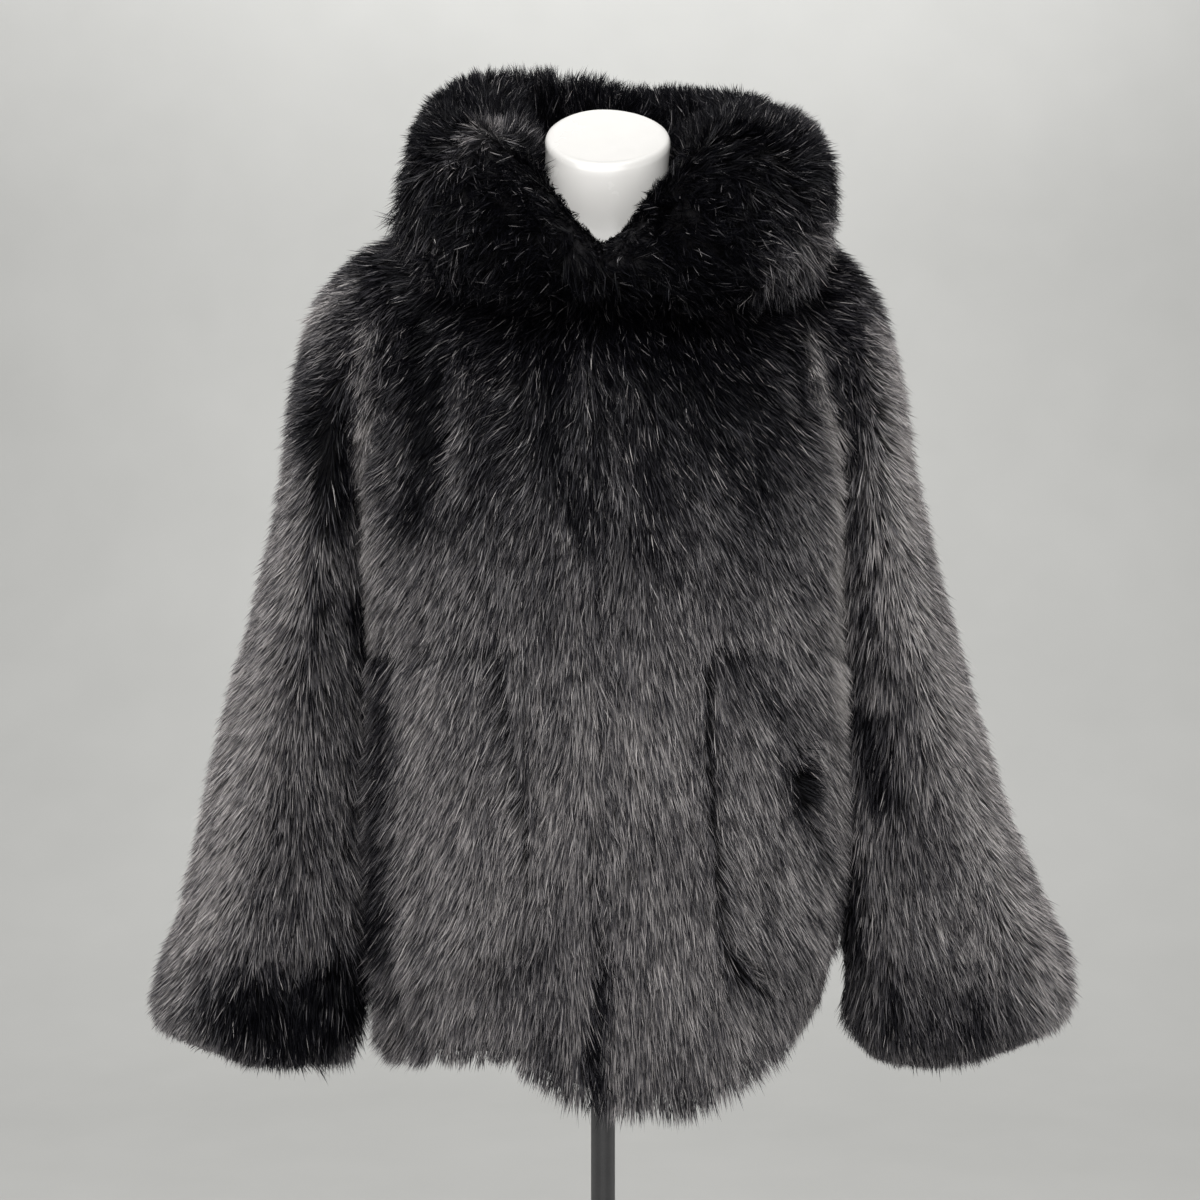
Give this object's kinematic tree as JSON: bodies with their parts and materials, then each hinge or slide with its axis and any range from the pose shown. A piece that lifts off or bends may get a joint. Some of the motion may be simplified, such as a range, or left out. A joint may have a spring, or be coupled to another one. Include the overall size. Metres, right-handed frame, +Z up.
{
  "type": "hooded faux fur jacket on a dress form stand",
  "caption": "Hooded hip-length jacket of long-pile faux fur with bell sleeves, turned-in cuffs and patch pockets, worn by a limbless dress form on a pole stand.",
  "frame": {"origin": "centre of the base's underside, on the floor", "axes": "+Z up along the pole, -Y out of the jacket's front, +X towards the wearer's left"},
  "size_m": [0.796, 0.374, 1.502],
  "materials": {
    "fur": "long soft pile, black going to charcoal at the hem",
    "form_shell": "glossy white",
    "stand_metal": "dark grey satin"
  },
  "bodies": {
    "root": {"back": "fur", "front_left": "fur", "front_right": "fur", "pocket_left": "fur", "pocket_right": "fur", "sleeve_left": "fur", "sleeve_right": "fur", "cuff_left": "fur", "cuff_right": "fur", "hood_left": "fur", "hood_right": "fur", "dress_form": "form_shell", "pole_collar": "stand_metal", "pole": "stand_metal", "base": "stand_metal"}
  },
  "joints": []
}
